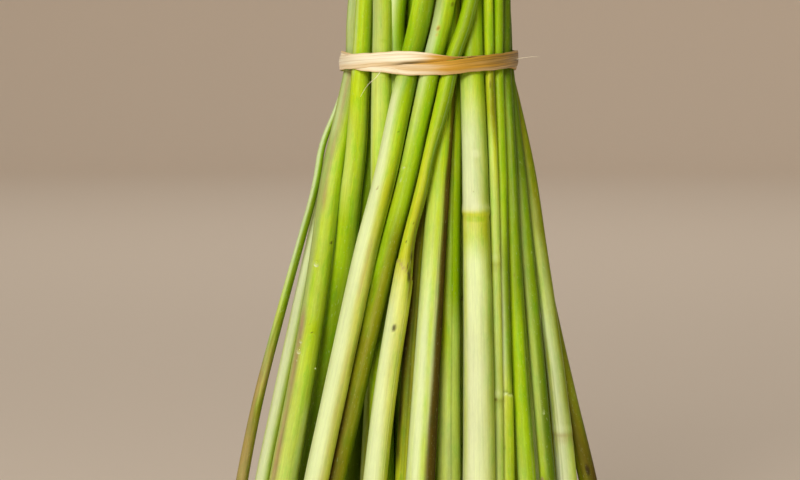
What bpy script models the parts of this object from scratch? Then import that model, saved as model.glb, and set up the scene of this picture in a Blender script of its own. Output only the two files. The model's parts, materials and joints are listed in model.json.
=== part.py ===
"""A bunch of lemongrass stalks, tied with a strip of raffia and standing on its cut ends.

The bunch is a sheaf. A strip of raffia holds it tight at TIE_Z, below the tie the stalks fan out to a
wide foot that is cut level, and above it they run close together to tops that are trimmed one by one.
Every stalk is one grown piece: a swollen base, a slender round stem and a cut top.

Lengths are millimetres in the values below, and MM turns them into Blender's metres.
X is sideways, -Y is the front of the bunch and +Z is up.
"""

import math
import random
from collections import namedtuple

import bmesh
import bpy
import numpy as np
from mathutils import Matrix, Vector

MM = 0.001

# Heights of the bunch
TIE_Z = 255.0  # middle of the raffia strip
FAN_Z = 172.0  # halfway down the fan
LOW_Z = 89.0  # where the stems start to swell
CROWN_Z = 418.0  # the trimmed tops, give or take CROWN_SPREAD
CROWN_SPREAD = 6.0

# The raffia strip, wound round the waist and knotted at the back
TIE_HEIGHT = 10.5
TIE_THICKNESS = 1.6
TIE_GAP = 0.35  # clear space between the raffia and the stalks
TIE_CORNERS = 48
KNOT_SIZE = (14.0, 6.4, 9.0)
KNOT_SINK = 1.2  # how far the knot goes into the strip

# Room the whole bunch has, by height: its middle and half width, its middle in depth and half depth
Room = namedtuple("Room", "height across half_width depth half_depth")
ROOM = (
    Room(0.0, -6.0, 94.0, -3.0, 76.0),
    Room(LOW_Z, -5.0, 75.0, -2.0, 60.0),
    Room(TIE_Z - 17.0, 0.6, 37.6, 0.0, 31.5),
    Room(TIE_Z - 6.0, 0.0, 34.4, 0.0, 29.3),
    Room(TIE_Z + 6.0, 0.0, 33.9, 0.0, 29.0),
    Room(TIE_Z + 20.0, 0.5, 33.5, 0.0, 28.5),
    Room(CROWN_Z, 1.0, 35.0, 0.0, 29.5),
)
WAIST = ROOM[3]

# Stalks behind the front rows
INNER_SPACING = 8.9  # between their middles at the tie
INNER_RADIUS = (3.5, 4.4)  # at the tie, thinnest and thickest
INNER_SWELL = 1.25  # radius at LOW_Z over radius at the tie
INNER_ROAM = 3.0  # how far a stalk strays from its place in the fan
FAN_OUT = (1.93, 1.86)  # how far the fan spreads by LOW_Z, sideways and in depth
SWIRL = math.radians(7.0)  # the fan also turns a little between the tie and LOW_Z
INNER_TINTS = ("green", "pale", "green", "olive", "cream", "green", "pale")

# The foot of a stalk: a bulb above a narrower root plate
BULB_Z = 25.0
BULB_LENGTH = 22.0
BULB_SWELL = 0.27
PLATE_PINCH = 0.20
PLATE_LENGTH = 8.0
PLATE_RIM = 3.0  # the lowest stretch is upright, so that the foot is cut level

# Heights of a stem's sections between the foot and the crown
SECTIONS = (9.0, 19.0, 33.0, 56.0, 89.0, 122.0, 152.0, 182.0, 212.0, 240.0, 255.0, 270.0, 292.0, 340.0)

# Settling, which finds every stalk its room
LEVELS = 86
TURNS = 500
GAP = 0.7  # clear space left between two stalks
SEED = 11

# One row for each stalk in the front rows, left to right: the stem's place sideways at the tie, halfway
# down the fan and at LOW_Z, its depth at the tie and at LOW_Z, its radius at both, how far it bows
# sideways at BOW_Z, its colour, and how far it swings to the right above the tie.
Front = namedtuple("Front", "across depth radius bow tint swing", defaults=(0.0,))
FRONT_ROWS = (
    Front((-30.5, -55.5, -74.5), (3.5, -5.0), (1.1, 2.4), -7.0, "olive"),
    Front((-31.0, -49.0, -66.5), (8.0, 1.0), (1.9, 3.0), -0.5, "pale"),
    Front((-31.0, -43.0, -57.5), (-4.0, -20.0), (3.7, 5.6), 0.0, "green"),
    Front((-26.5, -35.0, -49.5), (-12.5, 0.0), (3.5, 5.2), 0.0, "green"),
    Front((-18.5, -18.5, -18.5), (-20.0, -30.0), (3.8, 4.9), 0.0, "pale"),
    Front((-7.0, -26.5, -44.5), (-24.5, -44.0), (4.3, 4.8), 0.0, "cream"),
    Front((1.0, -18.0, -37.0), (-25.0, -37.5), (3.7, 3.8), 0.0, "olive", 2.6),
    Front((9.8, -9.8, -21.5), (-26.0, -48.0), (3.1, 4.5), 1.5, "cream", 8.0),
    Front((2.5, -5.0, -10.5), (-15.0, -39.0), (2.9, 3.1), 0.0, "olive"),
    Front((7.0, 1.2, -4.0), (-18.0, -51.0), (3.6, 5.6), 0.0, "pale"),
    Front((10.0, 8.3, 7.5), (-12.0, -39.0), (3.0, 4.7), 0.0, "green"),
    Front((17.0, 18.5, 18.7), (-18.5, -52.0), (4.6, 6.3), 0.0, "cream"),
    Front((23.5, 25.6, 26.5), (-18.5, -47.5), (1.8, 1.9), 0.0, "pale"),
    Front((27.5, 28.6, 29.5), (-14.0, -42.0), (2.0, 3.1), 0.0, "olive"),
    Front((30.5, 33.6, 38.0), (-8.0, -37.0), (2.4, 3.5), 0.0, "green"),
    Front((32.0, 39.5, 46.5), (-2.0, -28.0), (2.3, 3.2), 0.0, "green"),
    Front((31.0, 45.3, 54.5), (3.5, -19.0), (2.2, 4.1), 0.8, "cream"),
    Front((28.5, 44.8, 63.7), (9.0, -6.0), (2.8, 3.7), 0.0, "olive"),
)
BOW_Z = 218.0
BOW_LENGTH = 24.0
EASE_LENGTH = 60.0  # above the tie a stalk loses its lean over this length
SWING_LENGTH = 20.0
FRONT_HOLD = (0.95, 0.75)  # how firmly a front stalk keeps its place, sideways and in depth
INNER_HOLD = (0.12, 0.12)

# Colour and roughness of each finish
FINISHES = {
    "green": ((0.30, 0.48, 0.06), 0.45),
    "pale": ((0.52, 0.66, 0.20), 0.45),
    "cream": ((0.72, 0.76, 0.38), 0.42),
    "olive": ((0.32, 0.34, 0.06), 0.50),
    "raffia": ((0.80, 0.58, 0.28), 0.60),
}

# A stalk to be settled: its goal and its radius by height, its cut top, its colour and its hold
Stalk = namedtuple("Stalk", "goal radius crown tint hold")


def start_clean():
    for obj in list(bpy.data.objects):
        bpy.data.objects.remove(obj, do_unlink=True)


def finish(name):
    """The material of one finish, made once."""
    made = bpy.data.materials.get(name)
    if made:
        return made
    (red, green, blue), roughness = FINISHES[name]
    made = bpy.data.materials.new(name)
    made.use_nodes = True
    shader = made.node_tree.nodes["Principled BSDF"]
    shader.inputs["Base Color"].default_value = (red, green, blue, 1.0)
    shader.inputs["Roughness"].default_value = roughness
    shader.inputs["Metallic"].default_value = 0.0
    made.diffuse_color = (red, green, blue, 1.0)
    return made


def stem_radius(at_tie, at_low):
    """Radius by height: a taper from LOW_Z through the tie to the crown, swollen at the foot."""
    taper = (at_tie - at_low) / (TIE_Z - LOW_Z)

    def radius(height):
        stem = max(at_low + taper * max(height - LOW_Z, 0.0), 0.85 * at_tie)
        bulb = BULB_SWELL * math.exp(-(((height - BULB_Z) / BULB_LENGTH) ** 2))
        plate = PLATE_PINCH * math.exp(-((height / PLATE_LENGTH) ** 2))
        return stem * (1.0 + bulb - plate)

    return radius


def front_goal(row):
    """The middle line of a front stalk: a parabola through its three places, eased beyond them."""
    at_tie, at_fan, at_low = row.across
    step = TIE_Z - FAN_Z
    bend = (at_tie - 2.0 * at_fan + at_low) / (2.0 * step * step)
    lean = (at_tie - at_low) / (2.0 * step)
    tie_lean = lean + 2.0 * bend * step
    low_lean = lean - 2.0 * bend * step
    drop = (row.depth[0] - row.depth[1]) / (TIE_Z - LOW_Z)

    def goal(height):
        bow = row.bow * math.exp(-(((height - BOW_Z) / BOW_LENGTH) ** 2))
        if height > TIE_Z:
            eased = EASE_LENGTH * (1.0 - math.exp((TIE_Z - height) / EASE_LENGTH))
            swung = row.swing * (1.0 - math.exp((TIE_Z - height) / SWING_LENGTH))
            return at_tie + tie_lean * eased + bow + swung, row.depth[0] + 0.3 * drop * eased
        depth = row.depth[1] + drop * (height - LOW_Z)
        if height < LOW_Z:
            return at_low + 0.8 * low_lean * (height - LOW_Z), depth
        from_fan = height - FAN_Z
        return at_fan + lean * from_fan + bend * from_fan * from_fan + bow, depth

    return goal


def inner_goal(place, chance):
    """The middle line of an inner stalk: from its place at the tie straight down the fan, with a swirl."""
    turned = Matrix.Rotation(SWIRL, 2) @ place
    stray = Vector((chance.uniform(-INNER_ROAM, INNER_ROAM), chance.uniform(-INNER_ROAM, INNER_ROAM)))
    low = Vector((turned.x * FAN_OUT[0], turned.y * FAN_OUT[1])) + stray

    def goal(height):
        down = (TIE_Z - height) / (TIE_Z - LOW_Z)
        return tuple(place.lerp(low, down) if down > 0 else place)

    return goal


def front_stalks(chance):
    return [
        Stalk(
            front_goal(row),
            stem_radius(*row.radius),
            CROWN_Z + chance.uniform(-CROWN_SPREAD, CROWN_SPREAD),
            row.tint,
            FRONT_HOLD,
        )
        for row in FRONT_ROWS
    ]


def inner_stalks(front, chance):
    """Stalks on a close-packed grid at the tie, wherever the front rows leave room."""
    taken = [(Vector(stalk.goal(TIE_Z)), stalk.radius(TIE_Z)) for stalk in front]
    row_step = INNER_SPACING * math.sqrt(0.75)
    stalks = []
    for row in range(-4, 5):
        for column in range(-5, 6):
            place = Vector(((column + 0.5 * (row % 2)) * INNER_SPACING, row * row_step))
            radius = chance.uniform(*INNER_RADIUS)
            reach = math.hypot(
                place.x / (WAIST.half_width - radius), place.y / (WAIST.half_depth - radius)
            )
            if reach > 1.04:
                continue
            if any((place - spot).length < 0.92 * (radius + size) for spot, size in taken):
                continue
            stalks.append(
                Stalk(
                    inner_goal(place, chance),
                    stem_radius(radius, radius * INNER_SWELL),
                    CROWN_Z + chance.uniform(-CROWN_SPREAD, CROWN_SPREAD),
                    INNER_TINTS[len(stalks) % len(INNER_TINTS)],
                    INNER_HOLD,
                )
            )
    return stalks


def push_apart(place, radius, freedom):
    """Move every two stalks that are closer than GAP off each other, the freer one further."""
    between = place[:, :, None, :] - place[:, None, :, :]
    distance = np.sqrt((between**2).sum(-1)) + 1e-9
    clear = radius[:, :, None] + radius[:, None, :] + GAP
    short = np.clip(clear - distance, 0.0, None)
    index = np.arange(place.shape[1])
    short[:, index, index] = 0.0
    away = between / distance[..., None]
    give = ((freedom[:, None, :] + freedom[None, :, :]) * away**2).sum(-1) + 1e-9
    place += ((short / give)[..., None] * away).sum(2) * freedom * 0.5


def keep_in_room(place, radius, heights):
    """Bring every stalk that strays out of the room of the bunch back to its edge."""
    spots = [room.height for room in ROOM]
    across, half_width, depth, half_depth = (
        np.interp(heights, spots, [room[column] for room in ROOM])[:, None] for column in (1, 2, 3, 4)
    )
    offset_x = place[..., 0] - across
    offset_y = place[..., 1] - depth
    reach = np.hypot(offset_x / (half_width - radius), offset_y / (half_depth - radius))
    back = 1.0 / np.maximum(reach, 1.0)
    place[..., 0] = across + offset_x * back
    place[..., 1] = depth + offset_y * back


def settle(stalks):
    """Find every stalk its room at every height, in straight runs between the sections.

    Returns the heights and the middle lines.
    """
    heights = np.linspace(0.0, CROWN_Z + CROWN_SPREAD, LEVELS)
    goal = np.array([[stalk.goal(height) for stalk in stalks] for height in heights])
    radius = np.array([[stalk.radius(height) for stalk in stalks] for height in heights])
    hold = np.array([stalk.hold for stalk in stalks])
    freedom = 1.0 - hold
    knots = (0.0, PLATE_RIM, *SECTIONS, CROWN_Z + CROWN_SPREAD)
    runs = np.array([np.interp(heights, knots, peak) for peak in np.eye(len(knots))]).T
    straighten = runs @ np.linalg.pinv(runs)
    place = goal.copy()
    for turn in range(TURNS):
        calm = 1.0 - turn / TURNS
        drift = (place - goal) * (1.0 - 0.06 * calm * hold)
        drift[1:-1] += 0.4 * calm * ((drift[:-2] + drift[2:]) / 2.0 - drift[1:-1])
        place = goal + drift
        keep_in_room(place, radius, heights)
        push_apart(place, radius, freedom)
        place = np.tensordot(straighten, place, 1)
    return heights, place


def stem_sections(stalk, heights, middle):
    """Middle and radius of each section of a stem, from its level foot to its cut top."""

    def section(height, at_height):
        across = np.interp(at_height, heights, middle[:, 0])
        depth = np.interp(at_height, heights, middle[:, 1])
        return across, depth, height, stalk.radius(height)

    stations = [section(0.0, PLATE_RIM), section(PLATE_RIM, PLATE_RIM)]
    stations += [section(height, height) for height in SECTIONS]
    return stations + [section(stalk.crown, stalk.crown)]


def mesh_of(obj):
    """The finished mesh of an object, with the seams of its caps closed; the object itself goes."""
    graph = bpy.context.evaluated_depsgraph_get()
    mesh = bpy.data.meshes.new_from_object(obj.evaluated_get(graph))
    mesh.transform(obj.matrix_world)
    bpy.data.objects.remove(obj, do_unlink=True)
    seams = bmesh.new()
    seams.from_mesh(mesh)
    bmesh.ops.remove_doubles(seams, verts=seams.verts, dist=1e-6)
    bmesh.ops.recalc_face_normals(seams, faces=seams.faces)
    seams.to_mesh(mesh)
    seams.free()
    return mesh


def add_node(name, mesh, tint, group):
    node = bpy.data.objects.new(name, mesh)
    mesh.name = name
    mesh.materials.clear()
    mesh.materials.append(finish(tint))
    group.objects.link(node)
    return node


def add_curve(name, dimensions, loops, cyclic, group):
    """A curve of straight runs; each loop is a list of (x, y, z, radius) in millimetres."""
    curve = bpy.data.curves.new(name, "CURVE")
    curve.dimensions = dimensions
    for loop in loops:
        spline = curve.splines.new("POLY")
        spline.points.add(len(loop) - 1)
        spline.use_cyclic_u = cyclic
        for point, (x, y, z, radius) in zip(spline.points, loop):
            point.co = (x * MM, y * MM, z * MM, 1.0)
            point.radius = radius
    obj = bpy.data.objects.new(name, curve)
    group.objects.link(obj)
    return obj


def add_stalk(name, stalk, sections, group):
    stem = add_curve(f"{name}_line", "3D", [sections], False, group)
    stem.data.bevel_depth = MM
    stem.data.bevel_resolution = 2
    stem.data.use_fill_caps = True
    return add_node(name, mesh_of(stem), stalk.tint, group)


def waist_loop(circles, clearance):
    """Corners of the tightest loop that stays the given distance off all the circles."""
    turns = [math.tau * step / TIE_CORNERS for step in range(TIE_CORNERS)]
    reach = [
        max(x * math.cos(turn) + y * math.sin(turn) + radius for x, y, radius in circles) + clearance
        for turn in turns
    ]
    corners = []
    for step, turn in enumerate(turns):
        after = (step + 1) % TIE_CORNERS
        between = math.tau / TIE_CORNERS
        slide = (reach[after] - reach[step] * math.cos(between)) / math.sin(between)
        corners.append(
            (
                reach[step] * math.cos(turn) - slide * math.sin(turn),
                reach[step] * math.sin(turn) + slide * math.cos(turn),
                0.0,
                1.0,
            )
        )
    return corners


def add_tie(stems, group, guides):
    """The raffia strip: a close ring round the waist with a small knot on its back."""
    circles = []
    for sections in stems:
        across, depth, height, radius = np.array(sections).T
        for spot in (TIE_Z - TIE_HEIGHT / 2, TIE_Z, TIE_Z + TIE_HEIGHT / 2):
            circles.append([np.interp(spot, height, values) for values in (across, depth, radius)])
    inside = waist_loop(circles, TIE_GAP)
    outside = waist_loop(circles, TIE_GAP + TIE_THICKNESS)
    ring = add_curve("raffia_ring", "2D", [outside, inside], True, group)
    ring.data.fill_mode = "BOTH"
    ring.data.extrude = TIE_HEIGHT / 2 * MM
    ring.location.z = TIE_Z * MM
    bpy.context.view_layer.update()
    strip = add_node("raffia_tie", mesh_of(ring), "raffia", group)

    back = max(outside, key=lambda corner: corner[1])
    bpy.ops.mesh.primitive_uv_sphere_add(segments=16, ring_count=10, radius=0.5)
    knot = bpy.context.object
    knot.name = "knot_guide"
    knot.scale = Vector(KNOT_SIZE) * MM
    knot.location = (back[0] * MM, (back[1] + KNOT_SIZE[1] / 2 - KNOT_SINK) * MM, TIE_Z * MM)
    for collection in list(knot.users_collection):
        collection.objects.unlink(knot)
    guides.objects.link(knot)
    knot.hide_render = True
    knot.display_type = "WIRE"
    bpy.context.view_layer.update()

    join = strip.modifiers.new("knot", "BOOLEAN")
    join.operation = "UNION"
    join.solver = "EXACT"
    join.object = knot
    bpy.context.view_layer.update()
    joined = mesh_of(strip)
    bpy.data.objects.remove(knot, do_unlink=True)
    return add_node("raffia_tie", joined, "raffia", group)


def centre_on_foot(nodes):
    """Put the middle of the bunch's box over the origin; its foot is already on the ground."""
    corners = [vertex.co for node in nodes for vertex in node.data.vertices]
    shift = Vector(
        (
            -(min(corner.x for corner in corners) + max(corner.x for corner in corners)) / 2,
            -(min(corner.y for corner in corners) + max(corner.y for corner in corners)) / 2,
            -min(corner.z for corner in corners),
        )
    )
    for node in nodes:
        node.data.transform(Matrix.Translation(shift))


def main():
    start_clean()
    scene = bpy.context.scene
    group = bpy.data.collections.new("lemongrass_bunch")
    guides = bpy.data.collections.new("guides")
    scene.collection.children.link(group)
    scene.collection.children.link(guides)

    chance = random.Random(SEED)
    front = front_stalks(chance)
    stalks = front + inner_stalks(front, chance)
    heights, place = settle(stalks)
    stems = [stem_sections(stalk, heights, place[:, index]) for index, stalk in enumerate(stalks)]
    nodes = [
        add_stalk(f"stalk_{index + 1:02d}", stalk, sections, group)
        for index, (stalk, sections) in enumerate(zip(stalks, stems))
    ]
    nodes.append(add_tie(stems, group, guides))
    centre_on_foot(nodes)


main()
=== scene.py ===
"""A tied bunch of fresh lemongrass, finished around its CAD frame.

Each stalk is a waxy stem of rolled sheaths: it has a margin where the outer sheath ends, collars where a
sheath stops short, joints, ribs, stripes and specks. A strip of raffia goes twice round the waist, twists
where its turns cross and is knotted at the back.

Heights, widths and places in the tables are millimetres, and angles are degrees round a stem: 0 is its
front, towards -Y, and 90 its right, towards +X.
"""

import json
import math
import random
from collections import namedtuple

import bpy
import numpy as np
from bpy.props import FloatProperty, FloatVectorProperty, PointerProperty
from bpy.types import Operator, Panel, PropertyGroup
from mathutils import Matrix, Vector


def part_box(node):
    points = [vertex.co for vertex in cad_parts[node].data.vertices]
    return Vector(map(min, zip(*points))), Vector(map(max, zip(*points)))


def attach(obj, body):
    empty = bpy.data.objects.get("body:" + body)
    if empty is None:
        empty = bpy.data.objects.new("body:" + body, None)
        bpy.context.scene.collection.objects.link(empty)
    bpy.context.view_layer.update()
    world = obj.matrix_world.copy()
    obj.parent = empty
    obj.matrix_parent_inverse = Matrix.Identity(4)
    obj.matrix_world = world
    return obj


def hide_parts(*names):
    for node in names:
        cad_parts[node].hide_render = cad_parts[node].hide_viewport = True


bl_info = {
    "name": "Lemongrass Bunch",
    "version": (1, 0, 0),
    "blender": (4, 5, 0),
    "location": "View3D > Sidebar > Lemongrass",
    "description": "Builds a tied bunch of lemongrass stalks and the studio it stands in",
    "category": "Object",
}

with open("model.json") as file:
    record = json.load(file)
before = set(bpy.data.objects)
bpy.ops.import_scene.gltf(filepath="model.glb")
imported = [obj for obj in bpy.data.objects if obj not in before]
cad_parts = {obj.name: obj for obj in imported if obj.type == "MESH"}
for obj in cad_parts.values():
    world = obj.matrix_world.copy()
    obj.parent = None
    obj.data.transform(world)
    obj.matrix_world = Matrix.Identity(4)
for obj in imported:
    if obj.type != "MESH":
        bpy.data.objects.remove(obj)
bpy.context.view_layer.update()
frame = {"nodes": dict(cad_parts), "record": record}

MM = 0.001
STALKS = sorted(name for name in frame["nodes"] if name.startswith("stalk_"))
TIE = "raffia_tie"
SLOTS = {row["node"]: row["material_slot"] for row in frame["record"]["subparts"]}
OCTAGON = 2.0 * math.sqrt(2.0)  # area of a CAD stem's section over its radius squared
FIRST_CUT, LAST_CUT = 0.02, 3.0  # where a CAD stem is cut next to its ends: above its foot, below its crown
CUT_ROOM = 0.5  # kept free under a CAD stem's top for the slant of the visible cut
STEM_BENDS = (3.0, 9.0, 19.0, 33.0, 56.0, 89.0, 122.0, 152.0, 182.0, 212.0, 240.0, 255.0, 270.0, 292.0, 340.0)

# The stretch of the bunch that is seen closest, where the stems are modelled finest
CLOSE_LOW, CLOSE_HIGH = 78.0, 288.0
FOOT_TOP = 62.0  # below it every stem turns to the cream and rose of its base
CLOSEST_ROWS = 0.22  # rows of a stem lie at least this far apart
MARGIN_GAP = 1.6  # degrees from a sheath's margin to the columns next to it
TWIST_START = 180.0  # the height at which a stem's twist is nought
CUT_SLANT = 0.22  # how far a cut top rises from its middle, as a share of the stem's radius
GRAIN_SHIFT = 37.0  # keeps the grain of two stems apart
USUAL_RADIUS = 4.0  # of a stem; a margin's step and a speck's width are right for it
STREAK_FADE = 9.0  # length over which a stripe fades at its ends
STALK_SEED, STRIP_SEED = 100, 5  # for the random draws
STEM_COLUMNS = (44, 26)  # columns of corners round a stem: a front one, and any other
STEM_TWISTS = (0.05, 0.12)  # the most that such a stem twists, in degrees for each millimetre of height

# The studio, in metres: how far its floor reaches, the curve of the floor's rim and the wall's height; where
# the camera aims, from the middle of the tie; and the lights, the first of them placed from there
FLOOR_REACH, FLOOR_CURVE, WALL_HEIGHT = 7.0, 1.6, 2.6
AIM_LEFT, AIM_HEIGHT = 0.0114, 0.184
KEY_PLACE, KEY_SIZE = Vector((-0.38, -1.6, 0.85)), 0.7
BACKDROP_PLACE, BACKDROP_AIM, BACKDROP_SIZE = Vector((0.0, 2.2, 3.0)), Vector((0.0, 6.0, 0.0)), 3.0

# How deep the painted shade on a stem's surface is at each angle, and what it takes from red, green and blue
PAINTED_SIDE_SHADE = ((-180, -90, -30, 5, 50, 120, 180), (0.4, 0.4, 0.0, 0.05, 1.0, 0.8, 0.4))
PAINTED_SHADE_LOSS = (0.20, 0.14, 0.55)


# ------------------------------ What a user would change


def colour_prop(name, description, default):
    return FloatVectorProperty(
        name=name, description=description, subtype="COLOR", size=3, min=0.0, max=1.0, default=default
    )


def length_prop(name, description, default):
    return FloatProperty(name=name, description=description, default=default, unit="LENGTH", precision=4)


class BunchColours(PropertyGroup):
    leaf: colour_prop("Leaf", "Fresh green of the upper stems", (0.36, 0.56, 0.002))
    lime: colour_prop("Lime", "Yellow green of the lower stems", (0.52, 0.69, 0.012))
    # Pale also serves as painted light, on the lit left flanks and over shadows cast by neighbours
    pale: colour_prop("Pale", "Pale green of a stem's lit flank", (0.63, 0.76, 0.15))
    cream: colour_prop("Cream", "Cream of the inner sheaths", (0.78, 0.88, 0.45))
    ivory: colour_prop("Ivory", "Palest cream, on the thickest stem", (0.78, 0.84, 0.48))
    butter: colour_prop("Butter", "Yellow cream of a bare sheath", (0.72, 0.75, 0.17))
    lemon: colour_prop("Lemon", "Yellow that shows at joints", (0.58, 0.64, 0.02))
    # Fern and moss also serve as painted shade: on right flanks, away from the key light, on stalks deep in
    # the bunch and just above a sheath's free end
    fern: colour_prop("Fern", "Green of a stem's shaded flank", (0.23, 0.36, 0.001))
    moss: colour_prop("Moss", "Dark green of shaded stems", (0.13, 0.21, 0.001))
    sage: colour_prop("Sage", "Grey green under the bloom", (0.43, 0.52, 0.15))
    # Mist also paints a sheen near the edges of some stems, beside the wax's own bloom
    mist: colour_prop("Mist", "Bluish bloom of the wax", (0.64, 0.77, 0.38))
    olive: colour_prop("Olive", "Olive of an ageing sheath", (0.25, 0.27, 0.002))
    umber: colour_prop("Umber", "Dark brown of a dry sheath", (0.12, 0.075, 0.005))
    tan: colour_prop("Tan", "Light brown of a dry sheath", (0.41, 0.31, 0.10))
    rose: colour_prop("Rose", "Pink brown blush on a sheath", (0.46, 0.31, 0.16))
    bark: colour_prop("Bark", "Specks and torn edges", (0.045, 0.026, 0.006))
    straw: colour_prop("Straw", "Raffia", (0.97, 0.88, 0.64))
    amber: colour_prop("Amber", "Raffia where it twists", (0.72, 0.37, 0.025))


class BunchSizes(PropertyGroup):
    margin_step: length_prop("Margin step", "How proud the outer sheath's free edge stands", 0.00026)
    strip_width: length_prop("Strip width", "Width of the raffia strip", 0.0058)
    strip_thickness: length_prop("Strip thickness", "Thickness of the raffia strip", 0.00048)
    rib_depth: length_prop("Rib depth", "Depth of the fine ribs along a stem", 0.00012)


class StudioSettings(PropertyGroup):
    floor: colour_prop("Floor", "Pale floor and backdrop", (0.93, 0.77, 0.61))
    lens: FloatProperty(name="Lens", description="Focal length", default=100.0, unit="CAMERA")
    distance: length_prop("Distance", "From the camera to the middle of the bunch", 0.889)
    tilt: FloatProperty(
        name="Tilt", description="How far the camera looks down", default=math.radians(4.0), unit="ROTATION"
    )
    key_power: FloatProperty(
        name="Key power", description="Power of the soft light at the left", default=22.2, unit="POWER"
    )
    backdrop_power: FloatProperty(
        name="Backdrop power", description="Power of the light on the backdrop", default=22.0, unit="POWER"
    )
    sky_left: FloatProperty(name="Sky left", description="Strength of the sky at the left", default=0.50)
    sky_right: FloatProperty(name="Sky right", description="Strength of the sky at the right", default=0.16)


# Palette names whose surface is dry and dull, as a share
DRYNESS = {"olive": 0.3, "umber": 0.8, "tan": 0.9, "bark": 1.0, "rose": 0.3, "straw": 1.0, "amber": 0.8}


def palette():
    """Every named colour as red, green, blue and how dry it is."""
    colours = bpy.context.scene.bunch_colours
    names = BunchColours.__annotations__
    return {name: np.array([*getattr(colours, name), DRYNESS.get(name, 0.0)]) for name in names}


# ------------------------------ How the stalks look

# Colours of a stem at a height: its left flank, its right flank, the angle where they meet and how
# softly they do. Besides the sheaths' own colours, the flanks hold painted light on the left and painted
# shade on the right
Shade = namedtuple("Shade", "height left right split soft", defaults=(0.0, 30.0))
# A stripe along a stem, from one height to another; some are painted shade and some painted light
Streak = namedtuple("Streak", "angle width low high colour strength")
# The free end of a sheath: below it the stem is thicker. Its rim leans by tilt towards an angle, and
# a painted shade of strength shade darkens the stem just above it.
Collar = namedtuple("Collar", "height tilt towards step rim shade", defaults=("tan", 0.55))
# A joint: a small swelling with a groove under it, and how strongly it is marked
Joint = namedtuple("Joint", "height swell colour strength", defaults=(1.0,))
Speck = namedtuple("Speck", "height angle width length colour strength", defaults=("bark", 0.9))
# A gentle bend of a stem sideways about a height, and how far the stem slims there
Bend = namedtuple("Bend", "height length sideways slim", defaults=(0.0,))
Look = namedtuple("Look", "shades margin streaks collars joints specks bends girth")


def stalk_look(shades, margin, streaks=(), collars=(), joints=(), specks=(), bends=(), girth=1.0):
    """A look from rows of plain values, in the order that the names above give."""
    tables = ((Streak, streaks), (Collar, collars), (Joint, joints), (Speck, specks), (Bend, bends))
    parts = [tuple(made(*row) for row in rows) for made, rows in tables]
    return Look(tuple(Shade(*row) for row in shades), margin, *parts, girth)
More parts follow.
